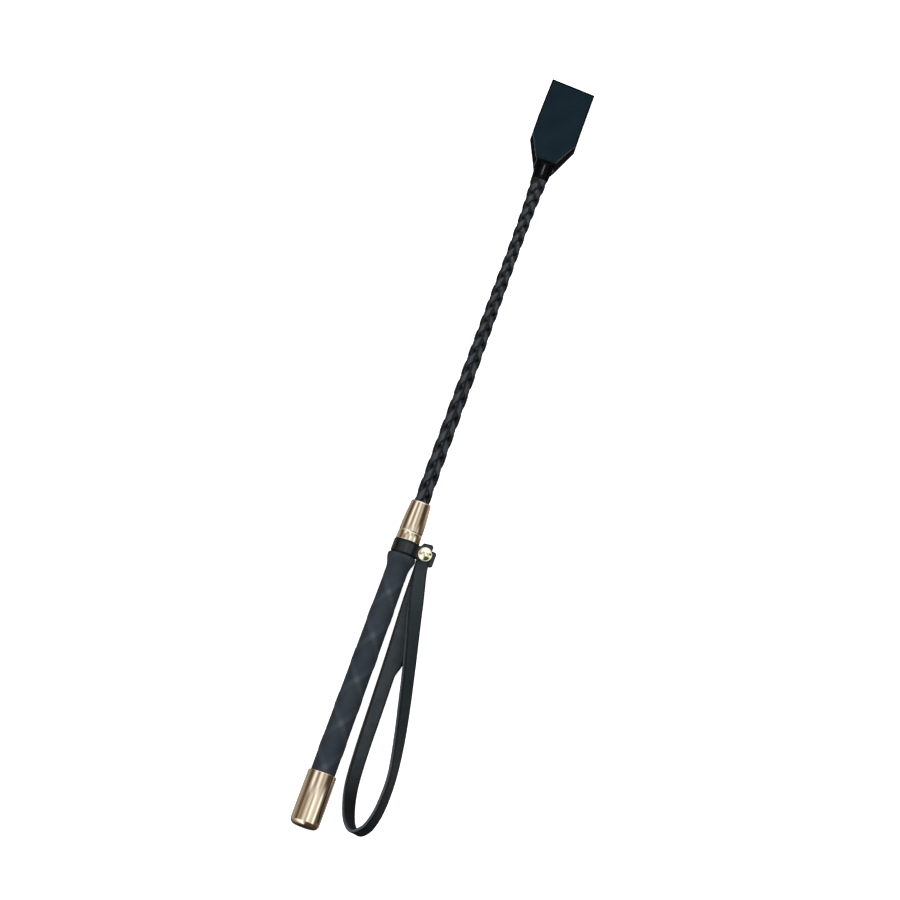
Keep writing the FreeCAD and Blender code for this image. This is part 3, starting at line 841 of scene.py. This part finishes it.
def collar_span(x, tab_x, rise):
    """Lower and upper side of the collar strap at a place on the neck or on a tab."""
    flare = smoothstep(x, TAB_ROOT_X + 0.5, TAB_FLARE_X)
    share = smoothstep(x, TAB_ROOT_X, FRONT_TAB_X)
    low = COLLAR_START + (TAB_START - COLLAR_START) * flare + rise[0] * share
    high = COLLAR_END + (TAB_END - COLLAR_END) * flare + rise[1] * share
    clip = max(0.0, x - (tab_x - TAB_CORNER))
    return low + clip, high - clip


def collar():
    """Leather strap round the neck, with its tabs, softened edges and a slight gap at the rivet."""
    path = collar_path()
    rows = []
    for i, point in enumerate(path):
        tangent = (path[min(i + 1, len(path) - 1)] - path[max(i - 1, 0)]).normalized()
        out = Vector((tangent.y, 0, -tangent.x))
        tab = (FRONT_TAB_X, FRONT_TAB_RISE) if point.y > 0 else (BACK_TAB_X, BACK_TAB_RISE)
        low, high = collar_span(point.x, *tab)
        section, finish = strap_section((high - low) / 2, COLLAR_THICKNESS / 2, 0.4)
        centre = Vector((point.x, (low + high) / 2, point.y))
        rows.append(strap_row(centre, Vector((0, 1, 0)), out, section))
    piece = grid_piece("collar", rows, COLLAR_LEATHER, slot_at=lambda i, j: finish[j],
                       extra_materials=[STRAP_CREASE, STRAP_EDGE_HIGHLIGHT, COLLAR_LEATHER], sharp=50)
    drill(piece, RIVET_STEM_RADIUS + 0.02)
    finish_piece(piece, "collar_strap", "collar")


def rivet_head(sign):
    """Outline of a domed rivet head with a rolled edge, from its crown to its underside."""
    roll = 0.32
    dome_edge = RIVET_RADIUS - 2 * roll
    shoulder = RIVET_SEAT + 2 * roll
    rise = RIVET_CROWN - shoulder + 0.12
    dome_radius = (dome_edge ** 2 + rise ** 2) / (2 * rise)
    half = math.degrees(math.asin(dome_edge / dome_radius))
    dome = arc((RIVET_CROWN - dome_radius, 0), dome_radius, 0, half, steps=20)
    edge = arc((RIVET_SEAT + roll, RIVET_RADIUS - roll), roll, 60, 180, steps=10)
    return [(sign * z, r) for z, r in dome + edge]


def rivet():
    """Two-part rivet: a domed cap, and a post with its own domed head."""
    socket_end = RIVET_SEAT + 0.7
    cap = rivet_head(1) + [(RIVET_SEAT, RIVET_STEM_RADIUS + 0.02),
                           (socket_end, RIVET_STEM_RADIUS + 0.02), (socket_end, 0.0)]
    post = rivet_head(-1) + [(-RIVET_SEAT, RIVET_STEM_RADIUS)] + rounded([
        (socket_end - 0.1, RIVET_STEM_RADIUS, 0.2), (socket_end - 0.1, 0.0, 0), (0, 0, 0)])[:-1]
    for name, outline, node in (("rivet_cap_dome", cap, "rivet_cap"),
                                ("rivet_post_dome", post, "rivet_post")):
        piece = lathe(name, outline, RIVET_GOLD, segments=96, place=round_rivet)
        finish_piece(piece, node, "collar")


# ---- Ferrule and shaft ----

def ferrule():
    """Tapered polished ferrule with a ring at its wide end and a rounded shoulder."""
    lip, shoulder_round = FERRULE_LIP_RADIUS, 1.5
    bore = end_of("braid_binding_butt", X) + 0.05
    spigot = NECK_RADIUS - 0.5
    groove = [(y, FERRULE_GROOVE_RADIUS, 0.12) for y in FERRULE_GROOVE]
    ring = rounded([(FERRULE_START, spigot, 0), (FERRULE_START, lip, 0.5),
                    (FERRULE_LIP_END, lip - 0.2, 0.3), *groove, (*FERRULE_TAPER[0], 0)])
    shoulder = arc((FERRULE_END - 1.55, FERRULE_TOP_RADIUS - shoulder_round), shoulder_round, 84, 0, steps=16)
    inside = [(FERRULE_END - 0.05, bore), (FERRULE_SOCKET_END, bore), (FERRULE_SOCKET_END, spigot)]
    piece = lathe("ferrule_shell", ring + FERRULE_TAPER[1:] + shoulder + inside, GOLD, segments=160)
    finish_piece(piece, "ferrule", "stick")


def braid_turn():
    """Function that gives how far the strands have turned round the shaft at a distance."""
    step = 0.25
    distances = np.arange(STRAND_START - 1, COVER_END + 1, step)
    rate = STRAND_ARC / np.interp(distances, *zip(*BRAID_CELLS))
    turns = np.concatenate([[0.0], np.cumsum((rate[1:] + rate[:-1]) / 2 * step)])
    turns -= np.interp(BRAID_PHASE, distances, turns)
    return lambda distance: np.interp(distance, distances, turns)


def weave(value):
    """Flat-topped wave from 1 at even numbers to -1 at odd ones."""
    wave = np.cos(np.pi * value)
    return wave * (1.5 - 0.5 * wave * wave)


def strand(name, hand, index, turn_at, radius_at):
    """One flat strand of the braid, over one and under one of the strands that cross it."""
    steps_across = 18
    shares = [math.sin(math.pi / 2 * (2 * step / steps_across - 1)) for step in range(steps_across + 1)]
    distances = np.arange(STRAND_START, COVER_END, 0.45)
    rows = []
    for distance in distances:
        turn = float(turn_at(distance))
        middle = hand * turn + STRAND_ARC * index
        lift = STRAND_LIFT * smoothstep(distance, STRAND_START + 1.5, STRAND_START + 5)
        cover = float(radius_at(distance)) + lift
        top, bottom = [], []
        for share in shares:
            angle = middle + share * STRAND_SHARE * STRAND_ARC / 2
            crossing = (angle + hand * turn) / STRAND_ARC
            height = hand * STRAND_WAVE * float(weave(crossing + index))
            crown = math.sqrt(max(0.0, 1 - abs(share) ** 3))
            middle_radius = cover - STRAND_WAVE - STRAND_THICKNESS + height
            place = angle + BRAID_TURN
            top.append(round_crop(distance, middle_radius + STRAND_THICKNESS * crown, place))
            bottom.append(round_crop(distance, middle_radius, place))
        rows.append(top + bottom[::-1])
    # Painted shade along the strand's edges, for the gaps between strands.
    shaded_edge_columns = 5
    piece = grid_piece(name, rows, STRAND_LEATHER, along=distances, extra_materials=[STRAND_EDGE_SHADE],
                       slot_at=lambda i, j: int(not shaded_edge_columns <= j < steps_across - shaded_edge_columns))
    finish_piece(piece, "braided_cover", "stick")


def braid():
    turn_at = braid_turn()
    radius_at = outer_radius("braided_cover")
    for hand, letter in ((1, "a"), (-1, "b")):
        for index in range(STRANDS_EACH_WAY):
            strand(f"strand_{letter}{index + 1}", hand, index, turn_at, radius_at)


def underlay():
    """Wound cord padding under the strands."""
    radius_at = outer_radius("braided_cover")
    distances = np.arange(start_of("shaft_underlay"), end_of("shaft_underlay"), 0.5)
    depth, bore = 1.5, 2.1
    outline = [(y, float(radius_at(y)) - depth) for y in distances]
    outline += [(outline[-1][0], bore), (outline[0][0], bore + 0.6)]
    piece = lathe("shaft_padding", outline, PADDING, segments=48)
    finish_piece(piece, "shaft_underlay", "stick")


# ---- Neck and flapper ----

def bend_at_neck(piece):
    """Bake a piece's placement into its mesh."""
    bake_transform(piece)


def neck_wrap():
    """Glossy sleeve between the braid and the flapper."""
    bore = end_of("tip_whipping", X) + 0.05
    outline = rounded([(NECK_START, bore, 0), (NECK_START, NECK_WRAP_RADIUS, 0.4),
                       (NECK_END - 2.5, NECK_WRAP_RADIUS + 0.08, 0),
                       (NECK_END, NECK_WRAP_RADIUS + 0.25, 0.04), (NECK_END, bore, 0)])
    piece = lathe("neck_sleeve", outline, WRAP, segments=96)
    finish_piece(piece, "neck_wrap")
    bend_at_neck(piece)


LEATHER, PAINT, BEVEL_HIGHLIGHT, THROAT = range(4)


def flap_columns(left, right, paint):
    """Places across the flapper: fixed steps at the painted edges, even steps between them."""
    edge = [0.0, 0.15, 0.5, paint]
    inner = np.linspace(left + paint, right - paint, 30)[1:-1]
    return [left + e for e in edge] + list(inner) + [right - e for e in reversed(edge)]


def flap_height(x, distance):
    """Height of the front face above the glue line: a bulge at the neck that flattens out."""
    fall = smoothstep(distance, FLAP_BULGE_START, FLAP_BULGE_END)
    half = NECK_WRAP_RADIUS + 1.2 * fall
    bulge = NECK_WRAP_RADIUS * (1 - fall) * math.sqrt(max(0.0, 1 - (x / half) ** 2))
    flat = FLAP_GLUE + FLAP_LAYER
    blend = 0.5
    rise = math.log1p(math.exp((bulge - flat) / blend)) - math.log1p(math.exp(-flat / blend))
    return flat + blend * rise


def round_over(share):
    """Drop of a rounded edge, from 0 where the rounding starts to 1 at the very edge."""
    return 1 - math.sqrt(max(0.0, 1 - share ** 2))


def flapper_stations():
    """Distances of the rows of points of a flapper layer, among them its outlines' corners."""
    sides = (BACK_LEFT, BACK_RIGHT, FRONT_LEFT, FRONT_RIGHT)
    corners = sorted({y for side in sides for y, _ in side if FLAP_BULGE_END < y < FLAP_STRAIGHT_START})
    stations = list(np.linspace(NECK_END + 0.03, FLAP_BULGE_END, 34))
    stations += list(np.linspace(FLAP_BULGE_END, corners[0], 12)[1:]) + corners[1:]
    stations += list(np.linspace(corners[-1], TOTAL_LENGTH - FLAP_END_PAINT, 32)[1:])
    return stations + [TOTAL_LENGTH - back for back in (FLAP_END_ROUND, 0.35, 0.12, 0.0)]


def flapper_layer(name, node, sign, left_side, right_side):
    """One leather layer, moulded round the neck at its root, with painted edges."""
    stations = flapper_stations()
    rows = []
    for distance in stations:
        left = np.interp(distance, *zip(*left_side))
        right = np.interp(distance, *zip(*right_side))
        slope = FLAP_END_SLANT * smoothstep(distance, FLAP_STRAIGHT_START, TOTAL_LENGTH)
        near_end = max(0.0, distance - (TOTAL_LENGTH - FLAP_END_ROUND)) / FLAP_END_ROUND
        top, bottom = [], []
        for x in flap_columns(left, right, FLAP_PAINT_WIDTH):
            y = distance - slope * (x - left) / (right - left)
            near_side = 1 - min(min(x - left, right - x) / FLAP_SIDE_ROUND, 1.0)
            drop = FLAP_ROUND_DEPTH * (round_over(near_side) + round_over(near_end))
            height = max(flap_height(x, distance) - drop, FLAP_GLUE + FLAP_THINNEST)
            top.append((x, y, sign * height))
            bottom.append((x, y, sign * FLAP_GLUE))
        rows.append(top + bottom[::-1])
    face_columns = len(rows[0]) // 2 - 1

    def slot_at(i, j):
        """Leather, edge paint, painted highlight along the bevel, or the glossy throat's black with painted
        shade, for each face.
        """
        from_side = min(j, face_columns - 1 - j)
        at_end = stations[i] >= TOTAL_LENGTH - FLAP_END_PAINT - 0.01
        on_taper = stations[i] < FLAP_TAPER_END
        x, y = rows[i][min(j, face_columns)][:2]
        if j >= face_columns or at_end or from_side < 3 and not on_taper:
            return PAINT
        # Throat faces take the wrap's glossy black, partly painted shade beside the bulge.
        if y - THROAT_CURVE * x * x < THROAT_END:
            return THROAT
        # Painted highlight: pale bevel line along the front layer's edges on the taper.
        return BEVEL_HIGHLIGHT if sign > 0 and on_taper and from_side < 2 else LEATHER

    piece = grid_piece(name, rows, FLAPPER_LEATHER, slot_at=slot_at,
                       extra_materials=[FLAPPER_EDGE, FLAPPER_HIGHLIGHT_LINE, WRAP], sharp=50)
    finish_piece(piece, node)
    bend_at_neck(piece)


def flapper():
    flapper_layer("flapper_front_leather", "flapper_front", 1, FRONT_LEFT, FRONT_RIGHT)
    flapper_layer("flapper_back_leather", "flapper_back", -1, BACK_LEFT, BACK_RIGHT)


# ---- Carried-over CAD nodes ----

def carried_over():
    """Materials of the inner pieces that keep their CAD shape."""
    for node, material in (("core_rod", FIBREGLASS), ("handle_core", WOOD), ("butt_plug", WOOD),
                           ("neck_bush", PLASTIC), ("braid_binding_butt", THREAD),
                           ("tip_whipping", THREAD), ("flapper_tongue", FLAPPER_EDGE)):
        mesh = frame["nodes"][node].data
        mesh.materials.clear()
        mesh.materials.append(material)


# ---- Stage ----

def floor():
    """Plain pale floor, which glows a little so that shadows stay faint."""
    look = Shader("plain_floor", Roughness=0.9, Specular_IOR_Level=0.1, Emission_Strength=FLOOR_GLOW,
                  Emission_Color=(1, 1, 1, 1))
    look.colour(look.two_tone(look.noise(40.0), (0.88, 0.88, 0.88, 1), (0.9, 0.9, 0.9, 1)))
    mesh = bpy.data.meshes.new("floor")
    half, level = 8.0, (FLOOR_LEVEL - 0.02) * MM
    mesh.from_pydata([(-half, -half, level), (half, -half, level), (half, half, level),
                      (-half, half, level)], [], [(0, 1, 2, 3)])
    mesh.materials.append(look.material)
    piece = bpy.data.objects.new("floor", mesh)
    piece.visible_glossy = False
    piece.visible_diffuse = False
    bpy.context.scene.collection.objects.link(piece)


# Bands of light from left to right, as (degrees from straight up, brightness), for four zones of
# direction along the crop: towards the butt, overhead, a little beyond it, and towards the tip. The
# first pair of each says where, along the direction's Y, one zone gives way to the next.
LIGHT_BANDS = [
    ((None, None), [
        (-180, 0.1), (-130, 0.4), (-90, 0.8), (-60, 1.5), (-25, 1.6), (-8, 0.9), (5, 0.3), (30, 0.18),
        (90, 0.2), (180, 0.1)]),
    ((-0.3, -0.12), [
        (-180, 0.1), (-150, 0.5), (-130, 0.7), (-114, 0.66), (-100, 0.5), (-90, 0.3), (-78, 0.26),
        (-70, 0.48), (-61, 0.66), (-52, 0.52), (-44, 0.51), (-34, 0.85), (-26, 1.08), (-18, 1.15),
        (-12, 0.95), (-5, 0.68), (2, 1.0), (10, 1.58), (18, 1.38), (26, 1.08), (36, 1.0), (43, 0.88),
        (50, 1.18), (58, 1.58), (65, 1.15), (74, 0.3), (90, 0.24), (100, 0.32), (125, 0.24), (145, 0.55),
        (180, 0.1)]),
    ((0.14, 0.2), [
        (-180, 0.1), (-150, 0.5), (-135, 0.72), (-115, 0.58), (-98, 0.33), (-84, 0.2), (-71, 0.34),
        (-59, 0.95), (-48, 1.5), (-38, 1.05), (-27, 0.48), (-17, 0.62), (-7, 1.25), (3, 1.4), (13, 0.86),
        (24, 0.68), (34, 0.96), (44, 0.62), (55, 0.18), (68, 0.15), (80, 0.2), (94, 0.3), (110, 0.57),
        (130, 0.9), (150, 0.5), (180, 0.1)]),
    ((0.45, 0.6), [
        (-180, 0.1), (-90, 0.7), (-40, 1.5), (40, 1.5), (90, 0.7), (180, 0.1)]),
]
WORLD_STRENGTH = 0.73
LIGHT_CONTRAST = 1.4


def light_tint(brightness):
    """Colour of a band of light: dim ones are warm, bright ones a little cool."""
    tint = 1 + (0.25 if brightness < 1 else 0.15) * (brightness - 1)
    return (brightness, brightness * tint, brightness * tint * tint, 1)


def surroundings():
    """Soft light from all round, in bands that run along the crop like a studio's panels."""
    world = bpy.data.worlds.new("studio")
    bpy.context.scene.world = world
    world.use_nodes = True
    sky = Nodes(world.node_tree)
    direction = sky.axes(sky.add("TexCoord").outputs["Generated"])
    share = sky.remap(sky.calculate("ARCTAN2", direction["X"], direction["Z"]), -math.pi, math.pi)
    light = None
    for limits, bands in LIGHT_BANDS:
        zone = sky.ramp(share, [((degrees + 180) / 360, light_tint(brightness ** LIGHT_CONTRAST))
                                for degrees, brightness in bands])
        light = zone if light is None else sky.mix(sky.remap(direction["Y"], *limits), light, zone)
    sky.feed(world.node_tree.nodes["Background"], Color=light, Strength=WORLD_STRENGTH)


def panel(name, place, aim, size, power, mirrored=False):
    """Rectangular soft light, which glossy surfaces mirror or not."""
    light = bpy.data.lights.new(name, "AREA")
    light.color = (1.0, 0.99, 0.975)
    light.shape = "RECTANGLE"
    light.size, light.size_y = size
    light.energy = power
    lamp = bpy.data.objects.new(name, light)
    lamp.location = place
    lamp.rotation_mode = "QUATERNION"
    lamp.rotation_quaternion = (Vector(aim) - Vector(place)).to_track_quat("-Z", "Y")
    lamp.visible_glossy = mirrored
    bpy.context.scene.collection.objects.link(lamp)


def camera():
    """Camera above the crop, leaning a little towards the butt, with the crop slanting to the right."""
    distance, lean, roll = 12.0, math.radians(7.0), math.radians(19.92)
    target = Vector((5.5, 256.0, 0.0)) * MM
    back = Vector((0, -math.sin(lean), math.cos(lean)))
    up = Vector((-math.sin(roll), math.cos(roll), 0))
    right = up.cross(back).normalized()
    up = back.cross(right)
    data = bpy.data.cameras.new("camera")
    data.sensor_width = 36
    data.lens = 762.2
    data.clip_start, data.clip_end = 0.05, 80
    view = bpy.data.objects.new("camera", data)
    view.matrix_world = Matrix.Translation(target + back * distance) @ Matrix(
        (right, up, back)).transposed().to_4x4()
    bpy.context.scene.collection.objects.link(view)
    bpy.context.scene.camera = view


def main():
    for make in (camera, butt_cap, grip, collar, rivet, wrist_loop, ferrule, braid, underlay, neck_wrap,
                 flapper, carried_over, floor, surroundings):
        make()
    middle = (0.01, 0.25, 0)
    panel("key_panel", (-0.9, 0.1, 1.6), middle, (1.2, 1.8), 12)
    panel("fill_panel", (1.1, 0.5, 1.5), middle, (1.2, 1.8), 12)
    panel("neck_panel", (0, 0.4614, 0.15), (0, 0.443, 0), (0.05, 0.011), 0.09, mirrored=True)
    bpy.context.scene.view_settings.view_transform = "Standard"


main()
